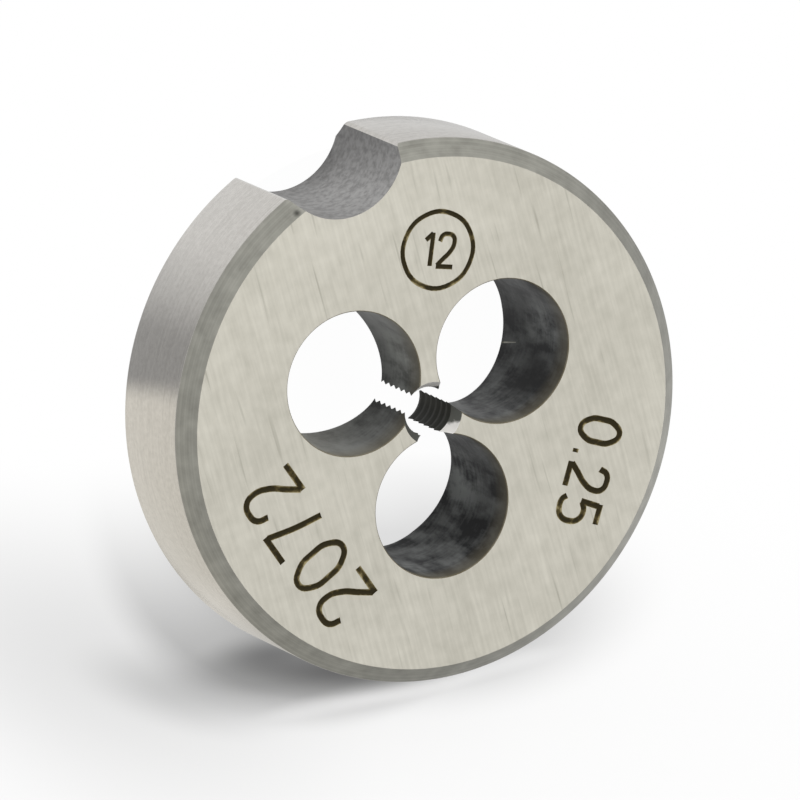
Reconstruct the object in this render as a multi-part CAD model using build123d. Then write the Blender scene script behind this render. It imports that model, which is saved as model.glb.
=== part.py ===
# Round threading die for a fine metric thread of about 1 mm, one hardened piece of tool steel.
# The origin is the centre of the back face. +Z runs along the thread's axis to the face that
# carries the marks, and +Y points at the middle of the clamping notch. Millimetres and degrees.

import os
from math import radians, sqrt, tan

from build123d import *

# Body
body_d = 12.0  # the rim, which seats in a die holder
body_h = 3.2  # from the back face to the marked face
rim_chamfer = 0.36  # at 45 degrees, on both edges of the rim

# Thread bore, plain here, with a conical lead-in on the marked face
bore_d = 1.1
throat_width = 0.15  # of the lead-in, across its slope's radius
throat_angle = 60.0  # included

# Conical relief behind the thread, open to the back face
relief_d = 7.2
relief_angle = 130.0  # included

# Chip holes, which break into the bore and leave the cutting lands between them
hole_count = 3
hole_d = 3.18
hole_bite = 0.065  # how far each hole cuts inside the bore's circle

# Clamping notch, a half-round groove across the rim, beside the middle of one land
notch_d = 3.0
notch_out = 0.39  # from the rim out to the notch's centre
notch_turn = 14.2  # from the middle of the land to the notch
notch_round = 0.1  # radius of its corners with the rim

# What follows from the sizes above
body_r = body_d / 2
bore_r = bore_d / 2
throat_r = bore_r + throat_width
throat_depth = throat_width / tan(radians(throat_angle / 2))
relief_r = relief_d / 2
relief_depth = (relief_r - bore_r) / tan(radians(relief_angle / 2))
hole_centre_r = bore_r + hole_d / 2 - hole_bite
notch_r = notch_d / 2
notch_centre_r = body_r + notch_out
notch_angle = 90.0  # +Y
land_angle = notch_angle - notch_turn
first_hole_angle = land_angle - 180.0 / hole_count
cut_over = 1.0  # how far the cutters run past both faces


# Half of the turned section, from the bore out to the rim, spun about the axis
def turned_blank():
    with BuildPart() as blank:
        with BuildSketch(Plane.XZ):
            with BuildLine():
                Polyline(
                    (bore_r, relief_depth),
                    (relief_r, 0),
                    (body_r - rim_chamfer, 0),
                    (body_r, rim_chamfer),
                    (body_r, body_h - rim_chamfer),
                    (body_r - rim_chamfer, body_h),
                    (throat_r, body_h),
                    (bore_r, body_h - throat_depth),
                    close=True,
                )
            make_face()
        revolve(axis=Axis.Z)
    return blank.part


# The chip holes' cutters run along the axis from under the back face to over the marked face
def chip_holes():
    with BuildPart() as holes:
        with BuildSketch(Plane.XY.offset(-cut_over)):
            with PolarLocations(hole_centre_r, hole_count, first_hole_angle):
                Circle(hole_d / 2)
        extrude(amount=body_h + 2 * cut_over)
    return holes.part


# The notch's cutter: the half-round wall, an arc at each end that rounds its corner with the
# rim, and straight sides from there out past the rim
def notch():
    centre = Vector(0, notch_centre_r)
    corner_r = body_r - notch_round
    reach = notch_r + notch_round
    corner_y = (corner_r**2 + notch_centre_r**2 - reach**2) / (2 * notch_centre_r)
    corner = Vector(sqrt(corner_r**2 - corner_y**2), corner_y)
    on_rim = corner * (body_r / corner_r)
    on_wall = centre + (corner - centre) * (notch_r / reach)
    between = corner + ((on_rim + on_wall) / 2 - corner).normalized() * notch_round
    outside = corner * ((body_r + cut_over) / corner_r)
    with BuildPart() as cutter:
        with BuildSketch(Plane.XY.offset(-cut_over)):
            with BuildLine():
                ThreePointArc(on_wall, between, on_rim)
                Polyline(on_rim, outside, (0, outside.Y))
                mirror(about=Plane.YZ)
                ThreePointArc(on_wall, (0, notch_centre_r - notch_r), (-on_wall.X, on_wall.Y))
            make_face()
        extrude(amount=body_h + 2 * cut_over)
    return cutter.part


def die():
    body = turned_blank() - chip_holes() - notch()
    body.label = "die_body"
    return body


os.makedirs("parts", exist_ok=True)
die_body = die()
export_step(die_body, "parts/die_body.step")
print("die_body", round(die_body.volume, 2), "mm3,", len(die_body.solids()), "solid")
print("bore wall", round(body_h - throat_depth - relief_depth, 3), "mm long")
print("rim wall", round(body_h - 2 * rim_chamfer, 3), "mm long")
print("chip holes on a circle of", round(2 * hole_centre_r, 3), "mm")
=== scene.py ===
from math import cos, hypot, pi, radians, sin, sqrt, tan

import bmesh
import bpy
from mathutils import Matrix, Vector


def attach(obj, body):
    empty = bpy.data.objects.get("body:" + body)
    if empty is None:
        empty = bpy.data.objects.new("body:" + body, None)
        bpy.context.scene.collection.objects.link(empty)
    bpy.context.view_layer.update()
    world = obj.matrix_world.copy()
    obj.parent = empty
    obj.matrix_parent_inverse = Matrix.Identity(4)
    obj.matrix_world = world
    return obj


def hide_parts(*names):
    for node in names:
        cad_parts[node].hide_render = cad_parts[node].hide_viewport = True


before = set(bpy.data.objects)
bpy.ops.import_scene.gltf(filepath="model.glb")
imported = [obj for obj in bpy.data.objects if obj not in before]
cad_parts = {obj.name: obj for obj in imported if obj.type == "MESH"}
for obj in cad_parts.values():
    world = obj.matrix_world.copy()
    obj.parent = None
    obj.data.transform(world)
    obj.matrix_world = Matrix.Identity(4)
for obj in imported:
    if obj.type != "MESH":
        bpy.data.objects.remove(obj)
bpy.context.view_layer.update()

# Round threading die of hardened tool steel, 12 mm across, lying flat on its back face.
# The frame is in metres: the origin is the middle of the back face, +Z comes out of the marked
# face and +Y points at the clamping notch. Meshes are made in millimetres, where the work on
# fine edges is steadier, and scaled to metres when they are finished.

mm = 0.001
print("frame loaded:", sorted(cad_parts))


# Helpers for materials

def toLinear(code):  # "#rrggbb" as it looks on a screen, to the renderer's linear values
    channels = [int(code[i:i + 2], 16) / 255 for i in (1, 3, 5)]
    linear = [c / 12.92 if c <= 0.04045 else ((c + 0.055) / 1.055) ** 2.4 for c in channels]
    return (*linear, 1.0)


def addNode(tree, kind, inputs=None, stops=None, **settings):  # a node, its values and its links
    node = tree.nodes.new(kind)
    for name, value in settings.items():
        setattr(node, name, value)
    for key, value in (inputs or {}).items():
        if isinstance(value, bpy.types.NodeSocket):
            tree.links.new(value, node.inputs[key])
        else:
            node.inputs[key].default_value = value
    for index, (place, code) in enumerate(stops or []):
        ramp = node.color_ramp.elements
        stop = ramp[index] if index < 2 else ramp.new(place)
        stop.position = place
        stop.color = toLinear(code)
    return node


def newMaterial(name):  # with the place on the piece in mm, which its patterns read
    material = bpy.data.materials.new(name)
    material.use_nodes = True
    tree = material.node_tree
    tree.nodes.clear()
    place = addNode(tree, "ShaderNodeTexCoord").outputs["Object"]
    inMm = addNode(tree, "ShaderNodeVectorMath", {0: place, 3: 1 / mm}, operation="SCALE").outputs[0]
    return material, tree, inMm


def finishMaterial(tree, colour, roughness, normal=None, metallic=1.0, ior=1.5):
    shader = addNode(tree, "ShaderNodeBsdfPrincipled",
                     {"Base Color": colour, "Roughness": roughness, "Metallic": metallic, "IOR": ior})
    if normal is not None:
        tree.links.new(normal, shader.inputs["Normal"])
    addNode(tree, "ShaderNodeOutputMaterial", {"Surface": shader.outputs[0]})


# Materials

# Ground high-speed steel, from a surface grinder: pale warm grey with fine straight lines that
# run nearly along Y, a few deeper scratches among them, and a satin sheen.
ground = {
    "paleColour": "#c3c0b5",
    "darkColour": "#adaa9f",
    "scratchColour": "#7d7b6f",
    "scratchShare": 0.38,  # of that colour in the deepest scratches
    "lineAngle": 86.0,  # of the lines, from +X
    "lineSpacing": 0.07,  # mm, drawn coarser than the real 0.02 so that it shows
    "lineLength": 1.3,
    "lineShare": 0.34,  # of the lines in the tone
    "stainSize": 0.35,  # of the soft uneven stain between the lines
    "cloudSize": 2.857,  # of the wide paler and darker areas
    "softShare": 0.33,  # of the stain in the tone, and of the areas
    "smoothest": 0.31,  # roughness, which varies with the lines
    "roughest": 0.43,
}


def groundSteel():
    material, tree, inMm = newMaterial("groundHighSpeedSteel")
    lines = addNode(tree, "ShaderNodeMapping", {
        "Vector": inMm,
        "Rotation": (0, 0, radians(ground["lineAngle"])),
        "Scale": (ground["lineLength"], ground["lineSpacing"], 1),
    }, vector_type="TEXTURE")
    fine = addNode(tree, "ShaderNodeTexNoise", {"Vector": lines.outputs[0], "Scale": 1.0, "Detail": 2.0,
                                                "Roughness": 0.5})
    stainAndShade = addNode(tree, "ShaderNodeTexNoise", {"Vector": inMm, "Scale": 1 / ground["stainSize"],
                                                 "Detail": 3.0})
    cloud = addNode(tree, "ShaderNodeTexNoise", {"Vector": inMm, "Scale": 1 / ground["cloudSize"],
                                                 "Detail": 2.0})
    both = addNode(tree, "ShaderNodeMath", {0: stainAndShade.outputs[0], 1: cloud.outputs[0]}, operation="ADD")
    soft = addNode(tree, "ShaderNodeMath", {0: both.outputs[0], 1: ground["softShare"]},
                   operation="MULTIPLY")
    mean = addNode(tree, "ShaderNodeMath", {0: fine.outputs[0], 1: ground["lineShare"],
                                            2: soft.outputs[0]}, operation="MULTIPLY_ADD")
    tone = addNode(tree, "ShaderNodeValToRGB", {"Fac": mean.outputs[0]},
                   stops=[(0.34, ground["darkColour"]), (0.66, ground["paleColour"])])
    deep = addNode(tree, "ShaderNodeTexNoise", {"Vector": lines.outputs[0], "Scale": 0.6, "Detail": 1.0,
                                                "Distortion": 0.2})
    scratch = addNode(tree, "ShaderNodeMapRange", {"Value": deep.outputs[0], "From Min": 0.67,
                                                   "From Max": 0.78,
                                                   "To Max": ground["scratchShare"]})
    colour = addNode(tree, "ShaderNodeMix", {0: scratch.outputs[0], 6: tone.outputs[0],
                                             7: toLinear(ground["scratchColour"])}, data_type="RGBA")
    rough = addNode(tree, "ShaderNodeMapRange", {"Value": fine.outputs[0],
                                                 "To Min": ground["smoothest"],
                                                 "To Max": ground["roughest"]})
    bump = addNode(tree, "ShaderNodeBump", {"Height": fine.outputs[0], "Strength": 0.3,
                                            "Distance": 0.001 * mm})
    finishMaterial(tree, colour.outputs[2], rough.outputs[0], bump.outputs[0])
    return material


# The same steel turned on a lathe, for the chamfers and behind the thread: greyer and rougher,
# with rings round the axis, a blotchy skin left by hardening, and painted shade that darkens the
# side towards +X.
turned = {
    "paleColour": "#b2b1a8",
    "darkColour": "#94938b",
    "ringSpacing": 0.06,  # mm
    "blotchSize": 0.35,
    "paintedShadeWay": (1.0, 0.09, 0.0),  # towards the side painted darker, as shade
    "paintedShadeFrom": 4.4,  # mm along that way
    "paintedShadeTo": 5.8,
    "paintedShadeTone": 0.80,
    "spotAt": (-1.395, 5.525, 3.12),  # a small dark spot beside the notch
    "spotRadius": 0.13,
    "spotTone": 0.25,
    "roughness": 0.42,
}


def turnedSteel():
    material, tree, inMm = newMaterial("turnedToolSteel")
    parts = addNode(tree, "ShaderNodeSeparateXYZ", {0: inMm})
    flat = addNode(tree, "ShaderNodeCombineXYZ", {0: parts.outputs[0], 1: parts.outputs[1]})
    radius = addNode(tree, "ShaderNodeVectorMath", {0: flat.outputs[0]}, operation="LENGTH")
    ringPlace = addNode(tree, "ShaderNodeCombineXYZ", {0: radius.outputs["Value"], 2: parts.outputs[2]})
    ring = addNode(tree, "ShaderNodeTexNoise", {"Vector": ringPlace.outputs[0], "Detail": 2.0,
                                                "Scale": 1 / turned["ringSpacing"]})
    blotch = addNode(tree, "ShaderNodeTexNoise", {"Vector": inMm, "Detail": 4.0,
                                                  "Scale": 1 / turned["blotchSize"]})
    both = addNode(tree, "ShaderNodeMath", {0: ring.outputs[0], 1: blotch.outputs[0]}, operation="ADD")
    half = addNode(tree, "ShaderNodeMath", {0: both.outputs[0], 1: 2.0}, operation="DIVIDE")
    colour = addNode(tree, "ShaderNodeValToRGB", {"Fac": half.outputs[0]},
                     stops=[(0.34, turned["darkColour"]), (0.64, turned["paleColour"])])
    # Painted shade: the turned steel grows darker towards +X
    along = addNode(tree, "ShaderNodeVectorMath", {0: inMm, 1: turned["paintedShadeWay"]},
                    operation="DOT_PRODUCT")
    stainAndShade = addNode(tree, "ShaderNodeMapRange", {"Value": along.outputs["Value"],
                                                 "From Min": turned["paintedShadeFrom"],
                                                 "From Max": turned["paintedShadeTo"], "To Min": 1.0,
                                                 "To Max": turned["paintedShadeTone"]})
    away = addNode(tree, "ShaderNodeVectorMath", {0: inMm, 1: turned["spotAt"]}, operation="DISTANCE")
    spot = addNode(tree, "ShaderNodeMapRange", {"Value": away.outputs["Value"],
                                                "From Max": turned["spotRadius"],
                                                "To Min": turned["spotTone"], "To Max": 1.0},
                   interpolation_type="SMOOTHSTEP")
    tone = addNode(tree, "ShaderNodeMath", {0: stainAndShade.outputs[0], 1: spot.outputs[0]},
                   operation="MULTIPLY")
    toned = addNode(tree, "ShaderNodeVectorMath", {0: colour.outputs[0], 3: tone.outputs[0]},
                    operation="SCALE")
    bump = addNode(tree, "ShaderNodeBump", {"Height": ring.outputs[0], "Strength": 0.4,
                                            "Distance": 0.0015 * mm})
    finishMaterial(tree, toned.outputs[0], turned["roughness"], bump.outputs[0])
    return material


# The rim, ground between centres: pale neutral grey with fine lines round it, a soft sheen and a
# sparse speckle.
rimFinish = {
    "paleColour": "#d0cdc8",
    "darkColour": "#c2bfba",
    "lineSpacing": 0.05,  # mm, across the lines
    "lineLength": 1.6,
    "grainSize": 0.1111,  # of the speckle
    "roughness": 0.24,
}


def rimSteel():
    material, tree, inMm = newMaterial("cylindricallyGroundSteel")
    stretch = (1 / rimFinish["lineLength"], 1 / rimFinish["lineLength"], 1 / rimFinish["lineSpacing"])
    lines = addNode(tree, "ShaderNodeMapping", {"Vector": inMm, "Scale": stretch})
    fine = addNode(tree, "ShaderNodeTexNoise", {"Vector": lines.outputs[0], "Scale": 1.0, "Detail": 3.0})
    grain = addNode(tree, "ShaderNodeTexNoise", {"Vector": inMm, "Scale": 1 / rimFinish["grainSize"],
                                                 "Detail": 2.0})
    both = addNode(tree, "ShaderNodeMath", {0: fine.outputs[0], 1: grain.outputs[0]}, operation="ADD")
    half = addNode(tree, "ShaderNodeMath", {0: both.outputs[0], 1: 2.0}, operation="DIVIDE")
    colour = addNode(tree, "ShaderNodeValToRGB", {"Fac": half.outputs[0]},
                     stops=[(0.36, rimFinish["darkColour"]), (0.62, rimFinish["paleColour"])])
    bump = addNode(tree, "ShaderNodeBump", {"Height": half.outputs[0], "Strength": 0.4,
                                            "Distance": 0.001 * mm})
    finishMaterial(tree, colour.outputs[0], rimFinish["roughness"], bump.outputs[0])
    return material


# Steel as drilled and then blackened by hardening, in the chip holes: near-black oxide, dull and
# blotchy, with faint rings from the drill, painted light that makes the hole towards -X and +Y
# paler, painted light and shade in a few spots, and a brown heat tint round the mouth at the
# marked face.
oxide = {
    "darkColour": "#161719",
    "paleColour": "#6d6f6e",
    "paintedLightColour": "#80817c",
    "tintColour": "#635c49",
    "ringSpacing": 0.09,  # mm along the hole
    "ringLength": 0.909,  # round the hole
    "patchSize": 0.5,  # round the hole
    "patchLength": 1.1,  # along the hole
    "ringShare": 0.16,  # of the rings in the pattern, against the blotches
    "tintFrom": 2.55,  # mm up
    "tintShare": 0.8,  # of the tint at the mouth
    "paintedLightSide": (-0.707, 0.707, 0.0),  # towards the hole whose walls are painted paler, as light
    "paintedLightShadeSpots": [  # painted light and shade: middle and radius in mm, tone at the middle
        ((2.91, -0.74, 2.1), 1.3, 0.2),
        ((3.52, 0.10, 2.0), 1.0, 2.1),
        ((0.06, 1.09, 2.3), 1.2, 2.3),
        ((0.62, -3.14, 2.4), 0.9, 0.7),
        ((1.03, -2.42, 1.0), 1.2, 2.2),
        ((-1.30, -3.39, 2.0), 0.7, 1.4),
    ],
    "roughness": 0.34,
    "ior": 1.25,
}


def oxideSteel():
    material, tree, inMm = newMaterial("drilledSteelBlackOxide")
    stretch = (1 / oxide["ringLength"], 1 / oxide["ringLength"], 1 / oxide["ringSpacing"])
    lines = addNode(tree, "ShaderNodeMapping", {"Vector": inMm, "Scale": stretch})
    ring = addNode(tree, "ShaderNodeTexNoise", {"Vector": lines.outputs[0], "Scale": 1.0, "Detail": 3.0})
    spread = (1 / oxide["patchSize"], 1 / oxide["patchSize"], 1 / oxide["patchLength"])
    patches = addNode(tree, "ShaderNodeMapping", {"Vector": inMm, "Scale": spread})
    patch = addNode(tree, "ShaderNodeTexNoise", {"Vector": patches.outputs[0], "Scale": 1.0,
                                                 "Detail": 5.0, "Roughness": 0.62})
    mean = addNode(tree, "ShaderNodeMix", {0: oxide["ringShare"], 2: patch.outputs[0],
                                           3: ring.outputs[0]})
    colour = addNode(tree, "ShaderNodeValToRGB", {"Fac": mean.outputs[0]},
                     stops=[(0.41, oxide["darkColour"]), (0.61, oxide["paleColour"])])
    # Painted light: the walls of the hole towards -X and +Y turn paler
    side = addNode(tree, "ShaderNodeVectorMath", {0: inMm, 1: oxide["paintedLightSide"]},
                   operation="DOT_PRODUCT")
    paintedLight = addNode(tree, "ShaderNodeMapRange", {"Value": side.outputs["Value"], "From Max": 1.0})
    paintedLightShare = addNode(tree, "ShaderNodeMath", {0: paintedLight.outputs[0], 1: mean.outputs[0]},
                   operation="MULTIPLY")
    shown = addNode(tree, "ShaderNodeMix", {0: paintedLightShare.outputs[0], 6: colour.outputs[0],
                                            7: toLinear(oxide["paintedLightColour"])},
                    data_type="RGBA").outputs[2]
    # Painted light and shade: each spot lightens or darkens the walls round it
    for middle, radius, toneThere in oxide["paintedLightShadeSpots"]:
        away = addNode(tree, "ShaderNodeVectorMath", {0: inMm, 1: middle}, operation="DISTANCE")
        tone = addNode(tree, "ShaderNodeMapRange", {"Value": away.outputs["Value"], "From Max": radius,
                                                    "To Min": toneThere, "To Max": 1.0},
                       interpolation_type="SMOOTHSTEP")
        shown = addNode(tree, "ShaderNodeVectorMath", {0: shown, 3: tone.outputs[0]},
                        operation="SCALE").outputs[0]
    parts = addNode(tree, "ShaderNodeSeparateXYZ", {0: inMm})
    mouth = addNode(tree, "ShaderNodeMapRange", {"Value": parts.outputs[2],
                                                 "From Min": oxide["tintFrom"],
                                                 "From Max": die["height"],
                                                 "To Max": oxide["tintShare"]})
    tinted = addNode(tree, "ShaderNodeMix", {0: mouth.outputs[0], 6: shown,
                                             7: toLinear(oxide["tintColour"])}, data_type="RGBA")
    bump = addNode(tree, "ShaderNodeBump", {"Height": mean.outputs[0], "Strength": 0.5,
                                            "Distance": 0.008 * mm})
    finishMaterial(tree, tinted.outputs[2], oxide["roughness"], bump.outputs[0], 0.0, oxide["ior"])
    return material


# The clamping notch, milled and left as it was: matte grey with faint darker blotches, and painted
# shade, darker where the wall turns towards +X and the back face.
milled = {
    "paleColour": "#aeadac",
    "darkColour": "#929190",
    "blotchSize": 0.14,  # mm
    "shadeWay": (0.9, 0.0, -0.2),
    "shadeFrom": 0.0,  # mm along that way
    "shadeTo": 1.0,
    "shadeTone": 0.54,
    "roughness": 0.5,
}


def notchSteel():
    material, tree, inMm = newMaterial("milledToolSteel")
    blotch = addNode(tree, "ShaderNodeTexNoise", {"Vector": inMm, "Scale": 1 / milled["blotchSize"],
                                                  "Detail": 4.0, "Roughness": 0.6})
    colour = addNode(tree, "ShaderNodeValToRGB", {"Fac": blotch.outputs[0]},
                     stops=[(0.36, milled["darkColour"]), (0.60, milled["paleColour"])])
    # Painted shade: darker where the wall turns towards +X and the back face
    along = addNode(tree, "ShaderNodeVectorMath", {0: inMm, 1: milled["shadeWay"]},
                    operation="DOT_PRODUCT")
    shade = addNode(tree, "ShaderNodeMapRange", {"Value": along.outputs["Value"],
                                                 "From Min": milled["shadeFrom"],
                                                 "From Max": milled["shadeTo"], "To Min": 1.0,
                                                 "To Max": milled["shadeTone"]})
    toned = addNode(tree, "ShaderNodeVectorMath", {0: colour.outputs[0], 3: shade.outputs[0]},
                    operation="SCALE")
    bump = addNode(tree, "ShaderNodeBump", {"Height": blotch.outputs[0], "Strength": 0.5,
                                            "Distance": 0.004 * mm})
    finishMaterial(tree, toned.outputs[0], milled["roughness"], bump.outputs[0])
    return material


# The thread, cut and then darkened with the chip holes: dull black oxide, rubbed a little paler
# at the crests.
threadFinish = {
    "rootColour": "#34352f",
    "crestColour": "#3e3f39",
    "roughness": 0.5,
    "metallic": 0.2,
}


def threadSteel():
    material, tree, inMm = newMaterial("cutThreadBlackOxide")
    parts = addNode(tree, "ShaderNodeSeparateXYZ", {0: inMm})
    flat = addNode(tree, "ShaderNodeCombineXYZ", {0: parts.outputs[0], 1: parts.outputs[1]})
    radius = addNode(tree, "ShaderNodeVectorMath", {0: flat.outputs[0]}, operation="LENGTH")
    depth = addNode(tree, "ShaderNodeMapRange", {"Value": radius.outputs["Value"],
                                                 "From Min": die["crestRadius"],
                                                 "From Max": die["crestRadius"] + die["threadDepth"]})
    colour = addNode(tree, "ShaderNodeValToRGB", {"Fac": depth.outputs[0]},
                     stops=[(0.0, threadFinish["crestColour"]), (0.35, threadFinish["rootColour"])])
    finishMaterial(tree, colour.outputs[0], threadFinish["roughness"], None, threadFinish["metallic"])
    return material


# The lead-in at the mouth of the thread, countersunk: a near-white painted highlight away from
# the X axis, and dark painted shade nearer to it.
throatFinish = {
    "paleColour": "#f0eeea",
    "darkColour": "#5e5f5a",
    "shadedWithin": 0.42,  # mm from the X axis
    "highlightFrom": 0.47,
    "waver": 0.08,  # mm that the border wanders to either side
    "patchSize": 0.2,  # mm, of its wandering
    "roughness": 0.34,
    "metallic": 0.45,
}


def throatSteel():
    material, tree, inMm = newMaterial("countersunkSteel")
    parts = addNode(tree, "ShaderNodeSeparateXYZ", {0: inMm})
    patch = addNode(tree, "ShaderNodeTexNoise", {"Vector": inMm, "Detail": 3.0,
                                                 "Scale": 1 / throatFinish["patchSize"]})
    shift = addNode(tree, "ShaderNodeMapRange", {"Value": patch.outputs[0],
                                                 "To Min": -throatFinish["waver"],
                                                 "To Max": throatFinish["waver"]})
    # Painted highlight away from the X axis and painted shade near it, along a wandering border
    away = addNode(tree, "ShaderNodeMath", {0: parts.outputs[1]}, operation="ABSOLUTE")
    place = addNode(tree, "ShaderNodeMath", {0: away.outputs[0], 1: shift.outputs[0]}, operation="ADD")
    paintedLight = addNode(tree, "ShaderNodeMapRange", {"Value": place.outputs[0],
                                                  "From Min": throatFinish["shadedWithin"],
                                                  "From Max": throatFinish["highlightFrom"]})
    colour = addNode(tree, "ShaderNodeValToRGB", {"Fac": paintedLight.outputs[0]},
                     stops=[(0.0, throatFinish["darkColour"]), (1.0, throatFinish["paleColour"])])
    finishMaterial(tree, colour.outputs[0], throatFinish["roughness"], None, throatFinish["metallic"])
    return material


# Numbers burnt in by a laser: a shallow groove with a dark brown floor that turns olive gold
# towards its edges and in patches, where the heat tint is thinner.
laser = {
    "floorColour": "#332e20",
    "wallColour": "#5a5034",
    "edgeColour": "#aa9f7a",
    "grainSize": 0.0625,  # mm, of the burnt grain
    "grainShift": 0.006,  # mm up or down that the grain moves the colours
    "patchSize": 0.3,
    "patchShift": 0.010,  # mm up that the thinner patches move them
    "roughness": 0.6,
}


def laserSteel():
    material, tree, inMm = newMaterial("laserBurntSteel")
    parts = addNode(tree, "ShaderNodeSeparateXYZ", {0: inMm})
    grain = addNode(tree, "ShaderNodeTexNoise", {"Vector": inMm, "Scale": 1 / laser["grainSize"],
                                                 "Detail": 2.0})
    shift = addNode(tree, "ShaderNodeMapRange", {"Value": grain.outputs[0],
                                                 "To Min": -laser["grainShift"],
                                                 "To Max": laser["grainShift"]})
    patch = addNode(tree, "ShaderNodeTexNoise", {"Vector": inMm, "Scale": 1 / laser["patchSize"],
                                                 "Detail": 2.0})
    thin = addNode(tree, "ShaderNodeMapRange", {"Value": patch.outputs[0], "From Min": 0.5,
                                                "From Max": 0.7, "To Max": laser["patchShift"]})
    both = addNode(tree, "ShaderNodeMath", {0: shift.outputs[0], 1: thin.outputs[0]}, operation="ADD")
    height = addNode(tree, "ShaderNodeMath", {0: parts.outputs[2], 1: both.outputs[0]}, operation="ADD")
    level = addNode(tree, "ShaderNodeMapRange", {"Value": height.outputs[0],
                                                 "From Min": die["height"] - marks["depth"],
                                                 "From Max": die["height"]})
    colour = addNode(tree, "ShaderNodeValToRGB", {"Fac": level.outputs[0]},
                     stops=[(0.3, laser["floorColour"]), (0.6, laser["wallColour"]),
                            (1.0, laser["edgeColour"])])
    finishMaterial(tree, colour.outputs[0], laser["roughness"])
    return material


# The die

# The sizes repeat the CAD part's, in mm, with the thread and the broken edges added.
die = {
    "radius": 6.0,
    "height": 3.2,
    "chamfer": 0.36,
    "crestRadius": 0.53,  # the thread's crests, which the CAD bore averages at 0.55
    "threadDepth": 0.030,
    "threadPitch": 0.25,
    "throatRadius": 0.70,
    "throatSlope": 30.0,  # degrees between the lead-in and the axis
    "reliefRadius": 3.6,
    "reliefSlope": 65.0,  # degrees between the relief cone and the axis
    "holeRadius": 1.59,
    "holeCentre": 2.075,
    "holeAngles": (15.8, 135.8, 255.8),
    "notchRadius": 1.5,
    "notchCentre": 6.39,
    "notchRound": 0.1,
    "brokenEdge": 0.02,  # at the chip holes' mouths
    "rimEdge": 0.012,  # between the rim and its chamfers
    "turnSteps": 288,
    "holeSteps": 144,
    "notchSteps": 36,  # from the wall's middle to its end
    "cornerSteps": 8,
    "threadTurns": 12,
    "threadSteps": 72,  # in each turn
    "flatWithin": 0.3,  # degrees between faces that become one
    "sharpFrom": 18.0,  # degrees between faces whose edge is shaded sharp
}
cutOver = 1.0  # mm that the cutters run past the die
samePoint = 1e-5  # mm, points nearer than this become one
throatDepth = (die["throatRadius"] - die["crestRadius"]) / tan(radians(die["throatSlope"]))
reliefDepth = (die["reliefRadius"] - die["crestRadius"]) / tan(radians(die["reliefSlope"]))

# Places in the list of materials
faceSlot, turnedSlot, rimSlot, oxideSlot, notchSlot, threadSlot, throatSlot, laserSlot = range(8)

# What is burnt into the marked face: plain numbers and a ring. Each row gives the middle of the
# mark in mm, the way up as degrees from +X, the height and the stroke's width. The ring's values
# are its middle, its radius and its width.
marks = {
    "depth": 0.02,  # mm
    "rows": [
        ("0.25", (2.98, -2.86), -37.0, 0.98, 0.14),
        ("2072", (-3.73, -1.47), 195.0, 1.30, 0.145),
        ("12", (1.35, 3.34), 62.0, 0.72, 0.11),
    ],
    "ring": ((1.35, 3.34), 0.84, 0.11),
    "gap": 0.21,  # between digits, as a share of the height
    "shallower": 0.0015,  # mm less for each further stroke of a digit, so that no floors coincide
    "digitWidth": 0.56,  # as a share of the height
    "narrowWidths": {".": 0.09, "1": 0.34},
}

# Each digit as smooth runs through a few points, in a box 0.56 wide and 1 high
digitRuns = {
    "0": [[(0.28, 1.0), (0.06, 0.8), (0.02, 0.5), (0.06, 0.2), (0.28, 0.0), (0.50, 0.2),
           (0.54, 0.5), (0.50, 0.8), (0.28, 1.0)]],
    "1": [[(0.12, 0.78), (0.34, 1.0)], [(0.34, 1.02), (0.34, 0.0)]],
    "2": [[(0.04, 0.76), (0.12, 0.95), (0.29, 1.0), (0.48, 0.93), (0.53, 0.72), (0.42, 0.46),
           (0.20, 0.22), (0.03, 0.03)], [(0.0, 0.0), (0.56, 0.0)]],
    "5": [[(0.50, 1.0), (0.04, 1.0)], [(0.09, 0.97), (0.05, 0.50)],
          [(0.07, 0.54), (0.25, 0.62), (0.46, 0.55), (0.54, 0.32), (0.46, 0.08), (0.26, 0.0),
           (0.08, 0.03), (0.0, 0.12)]],
    "7": [[(0.0, 1.0), (0.56, 1.0)], [(0.52, 0.97), (0.34, 0.5), (0.20, 0.0)]],
    ".": [[(0.0, 0.03), (0.09, 0.03)]],
}


def spunSection(points, steps, closed=True):  # a half-section in X and Z, spun round the Z axis
    bm = bmesh.new()
    verts = [bm.verts.new((x, 0, z)) for x, z in points]
    following = verts[1:] + verts[:1] if closed else verts[1:]
    edges = [bm.edges.new((a, b)) for a, b in zip(verts, following)]
    bmesh.ops.spin(bm, geom=verts + edges, cent=(0, 0, 0), axis=(0, 0, 1), dvec=(0, 0, 0),
                   angle=2 * pi, steps=steps, use_merge=True, use_duplicate=False)
    bmesh.ops.remove_doubles(bm, verts=bm.verts, dist=samePoint)
    bmesh.ops.recalc_face_normals(bm, faces=bm.faces)
    return bm


def toObject(bm, name, slot=None):  # with a slot, all its faces get that finish
    if slot is not None:
        for face in bm.faces:
            face.material_index = slot
    mesh = bpy.data.meshes.new(name)
    bm.to_mesh(mesh)
    bm.free()
    made = bpy.data.objects.new(name, mesh)
    bpy.context.scene.collection.objects.link(made)
    return made


def breakRim(bm):  # bevels the rings between the rim and its chamfers before anything is cut
    cornerAngle, onRim = radians(20), die["radius"] - 0.001
    rings = [e for e in bm.edges if e.calc_face_angle(0) > cornerAngle
             and all(hypot(v.co.x, v.co.y) > onRim for v in e.verts)]
    bmesh.ops.bevel(bm, geom=rings, affect="EDGES", offset_type="OFFSET", offset=die["rimEdge"],
                    segments=2, profile=0.5, material=-1, clamp_overlap=True)


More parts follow.
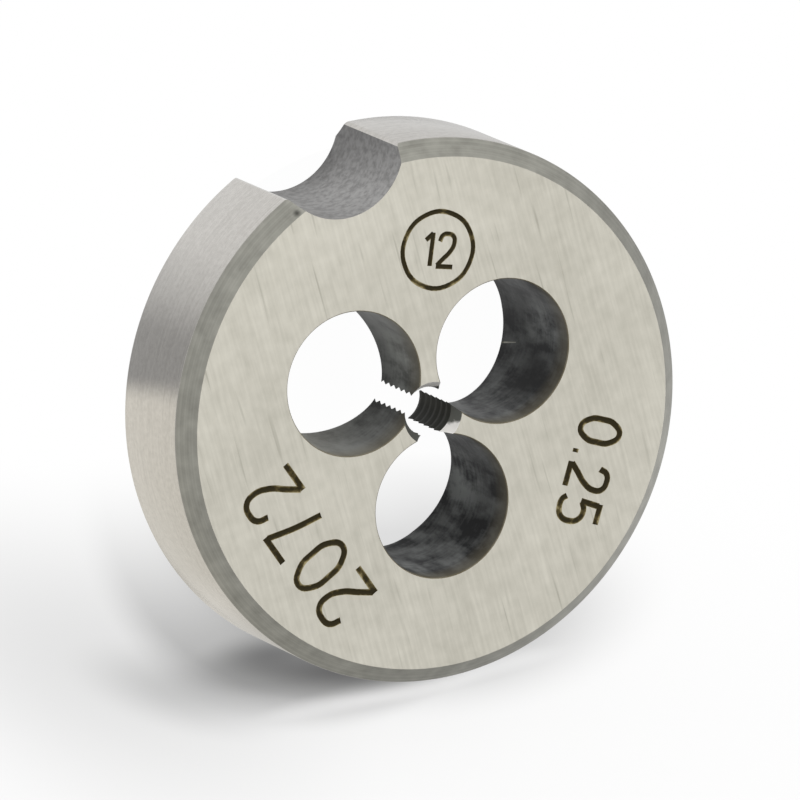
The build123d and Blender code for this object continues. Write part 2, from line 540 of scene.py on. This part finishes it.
def blankSlot(face):  # the finish of each turned surface, from where it lies
    rimBand, boreBand = 0.02, 0.005  # mm, how far from the circle a face's middle may lie
    level = 0.99  # the least upward or downward part of a level face's normal
    middle = face.calc_center_median()
    r = hypot(middle.x, middle.y)
    if r > die["radius"] - rimBand:
        return rimSlot
    if r < die["crestRadius"] + boreBand:
        return threadSlot
    if middle.z > die["height"] - throatDepth and r < die["throatRadius"]:
        return throatSlot
    if abs(face.normal.z) > level:
        return faceSlot
    return turnedSlot


def blank():
    outer, high, chamfer = die["radius"], die["height"], die["chamfer"]
    points = [
        (die["crestRadius"], reliefDepth),
        (die["reliefRadius"], 0),
        (outer - chamfer, 0),
        (outer, chamfer),
        (outer, high - chamfer),
        (outer - chamfer, high),
        (die["throatRadius"], high),
        (die["crestRadius"], high - throatDepth),
    ]
    bm = spunSection(points, die["turnSteps"])
    breakRim(bm)
    for face in bm.faces:
        face.material_index = blankSlot(face)
    return toObject(bm, "dieBlank")


def holeCutter(azimuth):  # round, and flared at both ends to break the chip hole's edges
    radius, broken, high = die["holeRadius"], die["brokenEdge"], die["height"]
    flared = radius + cutOver + broken
    points = [(0, -cutOver), (flared, -cutOver), (radius, broken), (radius, high - broken),
              (flared, high + cutOver), (0, high + cutOver)]
    bm = spunSection(points, die["holeSteps"], closed=False)
    middle = Vector((cos(radians(azimuth)), sin(radians(azimuth)), 0)) * die["holeCentre"]
    bmesh.ops.translate(bm, vec=middle, verts=bm.verts)
    return toObject(bm, "holeCutter", oxideSlot)


def notchCutter():  # the half-round wall and the arcs that round its corners with the rim
    outer, wall, rounding = die["radius"], die["notchRadius"], die["notchRound"]
    rimBand = 0.07  # mm in from the rim, where the corners are ground with it
    centre = Vector((0, die["notchCentre"], 0))
    inner, reach = outer - rounding, wall + rounding
    cornerY = (inner ** 2 + centre.y ** 2 - reach ** 2) / (2 * centre.y)
    corner = Vector((sqrt(inner ** 2 - cornerY ** 2), cornerY, 0))
    wallTurn = Vector((0, -1, 0)).angle(corner - centre)
    cornerTurn = (centre - corner).angle(corner)
    bm = bmesh.new()
    last = [bm.verts.new(centre - Vector((0, wall, 0)))]
    for middle, turn, steps in ((centre, wallTurn, die["notchSteps"]),
                                (corner, -cornerTurn, die["cornerSteps"])):
        last = bmesh.ops.spin(bm, geom=last, cent=middle, axis=(0, 0, 1), dvec=(0, 0, 0), angle=turn,
                              steps=steps, use_merge=False, use_duplicate=False)["geom_last"]
    for target in (corner * ((outer + cutOver) / inner), Vector((0, outer + cutOver, 0))):
        last = bmesh.ops.extrude_vert_indiv(bm, verts=last)["verts"]
        bmesh.ops.translate(bm, vec=target - last[0].co, verts=last)
    bmesh.ops.mirror(bm, geom=bm.verts[:] + bm.edges[:], matrix=Matrix(), merge_dist=samePoint,
                     axis="X")
    bmesh.ops.contextual_create(bm, geom=bm.edges[:])
    bmesh.ops.translate(bm, vec=(0, 0, -cutOver), verts=bm.verts)
    grown = bmesh.ops.extrude_face_region(bm, geom=bm.faces[:])["geom"]
    bmesh.ops.translate(bm, vec=(0, 0, die["height"] + 2 * cutOver),
                        verts=[part for part in grown if isinstance(part, bmesh.types.BMVert)])
    bmesh.ops.recalc_face_normals(bm, faces=bm.faces)
    for face in bm.faces:
        side = face.calc_center_median()
        face.material_index = rimSlot if hypot(side.x, side.y) > outer - rimBand else notchSlot
    return toObject(bm, "notchCutter")


def threadCutter():  # a V that climbs round the bore from inside the relief to above the face
    crest, depth, pitch = die["crestRadius"], die["threadDepth"], die["threadPitch"]
    turns, steps = die["threadTurns"], die["threadSteps"]
    startHeight = 0.45  # mm
    inside = 0.08  # how far the V starts inside the crests
    rootHalf = 0.012  # half of its flat bottom
    halfWide = 0.42 * pitch  # half of its width at the crests
    flare = halfWide * (depth + inside) / depth
    bm = bmesh.new()
    corners = [(crest - inside, -flare), (crest + depth, -rootHalf), (crest + depth, rootHalf),
               (crest - inside, flare)]
    verts = [bm.verts.new((x, 0, z + startHeight)) for x, z in corners]
    start = bm.faces.new(verts)
    bmesh.ops.spin(bm, geom=[start], cent=(0, 0, 0), axis=(0, 0, 1), dvec=(0, 0, pitch / steps),
                   angle=2 * pi * turns, steps=turns * steps, use_merge=False, use_duplicate=False)
    bmesh.ops.recalc_face_normals(bm, faces=bm.faces)
    return toObject(bm, "threadCutter", threadSlot)


def strokeCutter(points, width, depth, place, scale):  # a flattened tube along one run of a digit
    curve = bpy.data.curves.new("stroke", "CURVE")
    curve.dimensions = "3D"
    curve.bevel_depth = width / 2 / scale
    curve.bevel_resolution = 3
    curve.use_fill_caps = True
    curve.resolution_u = 6
    closed = points[0] == points[-1]
    runPoints = points[:-1] if closed else points
    spline = curve.splines.new("BEZIER")
    spline.bezier_points.add(len(runPoints) - 1)
    for knot, (x, y) in zip(spline.bezier_points, runPoints):
        knot.co = (x, y, 0)
        knot.handle_left_type = knot.handle_right_type = "AUTO"
    spline.use_cyclic_u = closed
    source = bpy.data.objects.new("stroke", curve)
    bpy.context.scene.collection.objects.link(source)
    bpy.context.view_layer.update()
    graph = bpy.context.evaluated_depsgraph_get()
    mesh = bpy.data.meshes.new_from_object(source.evaluated_get(graph))
    bpy.data.objects.remove(source)
    bm = bmesh.new()
    bm.from_mesh(mesh)
    bpy.data.meshes.remove(mesh)
    bmesh.ops.remove_doubles(bm, verts=bm.verts, dist=samePoint)
    bmesh.ops.recalc_face_normals(bm, faces=bm.faces)
    flatten = Matrix.Diagonal((1, 1, 2 * depth / width, 1))
    bmesh.ops.transform(bm, matrix=place @ flatten, verts=bm.verts)
    return toObject(bm, "stroke", laserSlot)


def markCutters():
    made = []
    for text, middle, wayUp, height, width in marks["rows"]:
        widths = [marks["narrowWidths"].get(character, marks["digitWidth"]) for character in text]
        left = -(sum(widths) + marks["gap"] * (len(text) - 1)) / 2
        for character, wide in zip(text, widths):
            place = (Matrix.Translation((*middle, die["height"]))
                     @ Matrix.Rotation(radians(wayUp - 90), 4, "Z")
                     @ Matrix.Scale(height, 4)
                     @ Matrix.Translation((left, -0.5, 0)))
            for index, run in enumerate(digitRuns[character]):
                depth = marks["depth"] - index * marks["shallower"]
                made.append(strokeCutter(run, width, depth, place, height))
            left += wide + marks["gap"]
    (x, y), radius, width = marks["ring"]
    knots = [(cos(a * pi / 4) * radius, sin(a * pi / 4) * radius) for a in range(8)]
    place = Matrix.Translation((x, y, die["height"]))
    made.append(strokeCutter(knots + knots[:1], width, marks["depth"], place, 1.0))
    return made


# A light scratch in the wall of one chip hole
wear = {
    "scratchFrom": (3.204, -0.471, 0.2),  # mm
    "scratchTo": (3.280, -0.376, 0.80),
    "scratchWidth": 0.045,
}


def scratchCutter():
    bm = bmesh.new()
    start, end = Vector(wear["scratchFrom"]), Vector(wear["scratchTo"])
    along = (end - start).to_track_quat("Z", "Y").to_matrix().to_4x4()
    bmesh.ops.create_cone(bm, cap_ends=True, segments=8, radius1=wear["scratchWidth"] / 2,
                          radius2=wear["scratchWidth"] / 4, depth=(end - start).length,
                          matrix=Matrix.Translation((start + end) / 2) @ along)
    return toObject(bm, "scratch", turnedSlot)


def cutWith(piece, cutters):  # takes the cutters out of the piece, then deletes them
    group = bpy.data.collections.new("cutters")
    bpy.context.scene.collection.children.link(group)
    for cutter in cutters:
        group.objects.link(cutter)
    cut = piece.modifiers.new("cut", "BOOLEAN")
    cut.operation = "DIFFERENCE"
    cut.solver = "EXACT"
    cut.operand_type = "COLLECTION"
    cut.collection = group
    cut.material_mode = "INDEX"
    bpy.context.view_layer.update()
    graph = bpy.context.evaluated_depsgraph_get()
    mesh = bpy.data.meshes.new_from_object(piece.evaluated_get(graph))
    piece.modifiers.clear()
    piece.data = mesh
    for cutter in cutters:
        bpy.data.objects.remove(cutter)
    bpy.data.collections.remove(group)
    print("cut with", len(cutters), "cutters:", len(mesh.polygons), "faces")


materials = [groundSteel(), turnedSteel(), rimSteel(), oxideSteel(), notchSteel(), threadSteel(),
             throatSteel(), laserSteel()]
print("materials made:", len(materials))


def threadingDie():
    mergeWithin, shortest = 2e-4, 1e-4  # mm, for the slivers that the cuts leave
    level = 0.999
    body = blank()
    for material in materials:
        body.data.materials.append(material)
    cutWith(body, [threadCutter()])
    cutWith(body, [holeCutter(azimuth) for azimuth in die["holeAngles"]] + [notchCutter()])
    cutWith(body, markCutters() + [scratchCutter()])
    bm = bmesh.new()
    bm.from_mesh(body.data)
    bmesh.ops.remove_doubles(bm, verts=bm.verts, dist=mergeWithin)
    bmesh.ops.dissolve_degenerate(bm, edges=bm.edges, dist=shortest)
    bmesh.ops.dissolve_limit(bm, angle_limit=radians(die["flatWithin"]), verts=bm.verts,
                             edges=bm.edges, delimit={"MATERIAL"})
    for face in bm.faces:
        face.smooth = abs(face.normal.z) < level and face.material_index != laserSlot
    for edge in bm.edges:
        edge.smooth = edge.calc_face_angle(0) < radians(die["sharpFrom"])
    openEdges = sum(1 for e in bm.edges if not e.is_manifold)
    print("open edges:", openEdges, "volume", round(bm.calc_volume(), 3), "mm3")
    bmesh.ops.scale(bm, vec=(mm, mm, mm), verts=bm.verts)
    finished = toObject(bm, "threadingDie")
    for material in materials:
        finished.data.materials.append(material)
    bpy.data.objects.remove(body)
    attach(finished, "root")
    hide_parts("die_body")
    return finished


threadingDie()
print("die made")


# Floor, light and camera

# Matte white card. For the camera it turns from matte, at the bottom of the picture, where it keeps
# the die's shadow, to an even white glow at the top. Soft grey patches of painted shadow deepen the
# shadow round the die, and a pale patch of painted light sharpens its near edge. Through the chip
# holes the card is white, with painted shade that greys it at the lowest. In reflections it glows
# without the shadow, less under the die, and with painted reflections round the die: tones that the
# steel mirrors, darker in bands.
floorCard = {
    "halfWidth": 3.0,  # m
    "drop": 0.01,  # mm under the die, so that the two don't coincide
    "colour": "#cdcdcd",
    "glowColour": "#ffffff",
    "bounceColour": "#c8c8c8",  # for the light that it throws back at the die
    "glowWay": (0.4373, 0.8993, 0.0),  # up the picture, along the floor
    "glowFrom": -7.7,  # mm along that way
    "glowTo": -1.49,
    "underDie": 5.4,  # mm from the axis
    "underFrom": -3.3,  # mm along the same way
    "underTo": -1.5,
    "underTones": (0.70, 0.98),  # painted shade in the chip holes, at the lowest and the highest
    "underLit": 0.4,  # share of the lamps' light that shows there
    "underReflected": 0.65,  # share of the glow there in reflections
    "patches": [  # painted shadow, the last one painted light: middle and half sizes in mm, turn, tone at the middle
        ((-6.45, -4.38, 0.0), (3.21, 1.03, 1.0), -41.0, 0.69),
        ((-10.41, 5.29, 0.0), (17.29, 5.95, 1.0), -67.4, 0.53),
        ((-0.20, -5.00, 0.0), (6.25, 3.01, 1.0), -26.6, 0.0),
        ((-4.09, -4.62, 0.0), (0.62, 2.05, 1.0), 68.5, 0.0),
        ((-2.55, -5.75, 0.0), (4.72, 0.79, 1.0), -24.5, 0.06),
        ((-1.35, -6.76, 0.0), (4.16, 0.40, 1.0), -14.4, 1.75),
    ],
    "roundDie": [  # painted reflections: azimuth from -180 to 180, and the tone that the steel reflects from there
        (-180, "#f4f1e9"), (-160, "#edeae2"), (-150, "#f0ede6"), (-125, "#cac9c6"),
        (-100, "#bcbcbc"), (-75, "#cbcbcb"), (-40, "#efefef"), (20, "#e7e7e7"), (50, "#eaeaea"),
        (72, "#f0f0f0"), (90, "#f9f9f9"), (119, "#f9f9f9"), (131, "#dedede"), (141, "#b5b5b5"),
        (152.5, "#b0b0b0"), (157, "#f9f6ef"), (180, "#f4f1e9"),
    ],
}


def whiteCard():
    material, tree, inMm = newMaterial("matteWhiteCard")
    # What the camera sees: the glow, and the matte card with its shadow
    along = addNode(tree, "ShaderNodeVectorMath", {0: inMm, 1: floorCard["glowWay"]},
                    operation="DOT_PRODUCT")
    glow = addNode(tree, "ShaderNodeMapRange", {"Value": along.outputs["Value"],
                                                "From Min": floorCard["glowFrom"],
                                                "From Max": floorCard["glowTo"]},
                   interpolation_type="SMOOTHSTEP")
    radius = addNode(tree, "ShaderNodeVectorMath", {0: inMm}, operation="LENGTH")
    under = addNode(tree, "ShaderNodeMath", {0: radius.outputs["Value"], 1: floorCard["underDie"]},
                    operation="LESS_THAN")
    # Painted shade: through the chip holes the glow greys towards the lowest
    inHoles = addNode(tree, "ShaderNodeMapRange", {"Value": along.outputs["Value"],
                                                   "From Min": floorCard["underFrom"],
                                                   "From Max": floorCard["underTo"],
                                                   "To Min": floorCard["underTones"][0],
                                                   "To Max": floorCard["underTones"][1]})
    strength = addNode(tree, "ShaderNodeMix", {0: under.outputs[0], 2: glow.outputs[0],
                                               3: inHoles.outputs[0]})
    lit = addNode(tree, "ShaderNodeMapRange", {"Value": under.outputs[0], "To Min": 1.0,
                                               "To Max": floorCard["underLit"]})
    tint = addNode(tree, "ShaderNodeVectorMath", {0: toLinear(floorCard["colour"])[:3],
                                                  3: lit.outputs[0]}, operation="SCALE").outputs[0]
    # Painted shadow: the patches darken the matte tone round the die, and the last one lightens it
    for middle, size, turn, toneThere in floorCard["patches"]:
        patch = addNode(tree, "ShaderNodeMapping", {
            "Vector": inMm,
            "Location": middle,
            "Rotation": (0, 0, radians(turn)),
            "Scale": size,
        }, vector_type="TEXTURE")
        away = addNode(tree, "ShaderNodeVectorMath", {0: patch.outputs[0]}, operation="LENGTH")
        tone = addNode(tree, "ShaderNodeMapRange", {"Value": away.outputs["Value"],
                                                    "To Min": toneThere, "To Max": 1.0},
                       interpolation_type="SMOOTHSTEP")
        tint = addNode(tree, "ShaderNodeVectorMath", {0: tint, 3: tone.outputs[0]},
                       operation="SCALE").outputs[0]
    matte = addNode(tree, "ShaderNodeBsdfDiffuse", {"Color": tint})
    light = addNode(tree, "ShaderNodeEmission", {"Color": toLinear(floorCard["glowColour"]),
                                                 "Strength": 1.0})
    seen = addNode(tree, "ShaderNodeMixShader", {0: strength.outputs[0], 1: matte.outputs[0],
                                                 2: light.outputs[0]})
    # What the steel mirrors: painted reflections, tones round the die
    parts = addNode(tree, "ShaderNodeSeparateXYZ", {0: inMm})
    side = addNode(tree, "ShaderNodeMath", {0: parts.outputs[1], 1: parts.outputs[0]},
                   operation="ARCTAN2")
    share = addNode(tree, "ShaderNodeMapRange", {"Value": side.outputs[0], "From Min": -pi,
                                                 "From Max": pi})
    # Painted reflection: tones round the die, darker in bands, that the steel mirrors
    stops = [((azimuth + 180) / 360, code) for azimuth, code in floorCard["roundDie"]]
    around = addNode(tree, "ShaderNodeValToRGB", {"Fac": share.outputs[0]}, stops=stops)
    level = addNode(tree, "ShaderNodeMapRange", {"Value": under.outputs[0], "To Min": 1.0,
                                                 "To Max": floorCard["underReflected"]})
    mirrored = addNode(tree, "ShaderNodeEmission", {"Color": around.outputs[0],
                                                    "Strength": level.outputs[0]})
    # What lights the die from below, and the choice between the three
    bounce = addNode(tree, "ShaderNodeBsdfDiffuse", {"Color": toLinear(floorCard["bounceColour"])})
    path = addNode(tree, "ShaderNodeLightPath")
    forCamera = addNode(tree, "ShaderNodeMixShader", {0: path.outputs["Is Camera Ray"],
                                                      1: bounce.outputs[0], 2: seen.outputs[0]})
    reflected = addNode(tree, "ShaderNodeMath", {0: path.outputs["Is Glossy Ray"],
                                                 1: path.outputs["Is Transmission Ray"]},
                        operation="MAXIMUM")
    forAll = addNode(tree, "ShaderNodeMixShader", {0: reflected.outputs[0], 1: forCamera.outputs[0],
                                                   2: mirrored.outputs[0]})
    addNode(tree, "ShaderNodeOutputMaterial", {"Surface": forAll.outputs[0]})
    return material


def floor():
    bm = bmesh.new()
    bmesh.ops.create_grid(bm, x_segments=1, y_segments=1, size=floorCard["halfWidth"])
    bmesh.ops.translate(bm, vec=(0, 0, -floorCard["drop"] * mm), verts=bm.verts)
    card = toObject(bm, "floorCard")
    card.data.materials.append(whiteCard())


floor()

# A pale room, brightest overhead and dimmer towards the floor
room = {
    "brightWay": (0.25, 0.15, 0.957),
    "dimFrom": -0.5,  # height along that way, from -1 to 1, where the levels start
    "levels": [(0.0, "#9c9c9c"), (0.45, "#dadada"), (0.65, "#e2e2e2"), (0.9, "#f8f8f8")],
}


def worldLight():
    world = bpy.data.worlds.new("paleRoom")
    bpy.context.scene.world = world
    world.use_nodes = True
    tree = world.node_tree
    tree.nodes.clear()
    way = addNode(tree, "ShaderNodeTexCoord").outputs["Generated"]
    along = addNode(tree, "ShaderNodeVectorMath", {0: way, 1: room["brightWay"]},
                    operation="DOT_PRODUCT")
    height = addNode(tree, "ShaderNodeMapRange", {"Value": along.outputs["Value"],
                                                  "From Min": room["dimFrom"], "From Max": 1.0})
    level = addNode(tree, "ShaderNodeValToRGB", {"Fac": height.outputs[0]}, stops=room["levels"])
    sky = addNode(tree, "ShaderNodeBackground", {"Color": level.outputs[0], "Strength": 1.0})
    addNode(tree, "ShaderNodeOutputWorld", {"Surface": sky.outputs[0]})


worldLight()


# The key lamp draws the shadow on the floor. The steel mirrors a wide soft box in its place, so
# that its faces don't burn out in the views that catch the lamp.
lamps = {
    "azimuth": 40,  # degrees from +X
    "elevation": 64,
    "distance": 0.5,  # m
    "keySize": 0.13,
    "keyPower": 2.2,  # W
    "softSize": 0.62,
    "softPower": 1.1,
}


def areaLamp(name, size, power):  # round, and aimed at the die
    data = bpy.data.lights.new(name, "AREA")
    data.shape = "DISK"
    data.size = size
    data.energy = power
    lamp = bpy.data.objects.new(name, data)
    a, e = radians(lamps["azimuth"]), radians(lamps["elevation"])
    way = Vector((cos(a) * cos(e), sin(a) * cos(e), sin(e)))
    lamp.location = way * lamps["distance"]
    lamp.rotation_euler = way.to_track_quat("Z", "Y").to_euler()
    bpy.context.scene.collection.objects.link(lamp)
    return lamp


areaLamp("keyLamp", lamps["keySize"], lamps["keyPower"]).visible_glossy = False
areaLamp("softBox", lamps["softSize"], lamps["softPower"]).visible_diffuse = False

# The photograph's view: a very long lens, so that parallel edges stay nearly parallel
shot = {
    "place": (-113.077, 122.361, 301.075),  # mm
    "right": (0.84109, -0.30910, 0.44387),
    "up": (0.42862, 0.88144, -0.19838),
    "focalLength": 712.48,  # mm, on a sensor 36 mm wide
}


def camera():
    data = bpy.data.cameras.new("photoCamera")
    data.sensor_fit = "AUTO"
    data.sensor_width = 36
    data.lens = shot["focalLength"]
    data.clip_start = 0.01
    data.clip_end = 20
    made = bpy.data.objects.new("photoCamera", data)
    right, up = Vector(shot["right"]), Vector(shot["up"])
    axes = Matrix((right, up, right.cross(up))).transposed().to_4x4()
    made.matrix_world = Matrix.Translation(Vector(shot["place"]) * mm) @ axes
    bpy.context.scene.collection.objects.link(made)
    bpy.context.scene.camera = made


camera()
bpy.context.scene.view_settings.view_transform = "Standard"
print("floor, light and camera made")
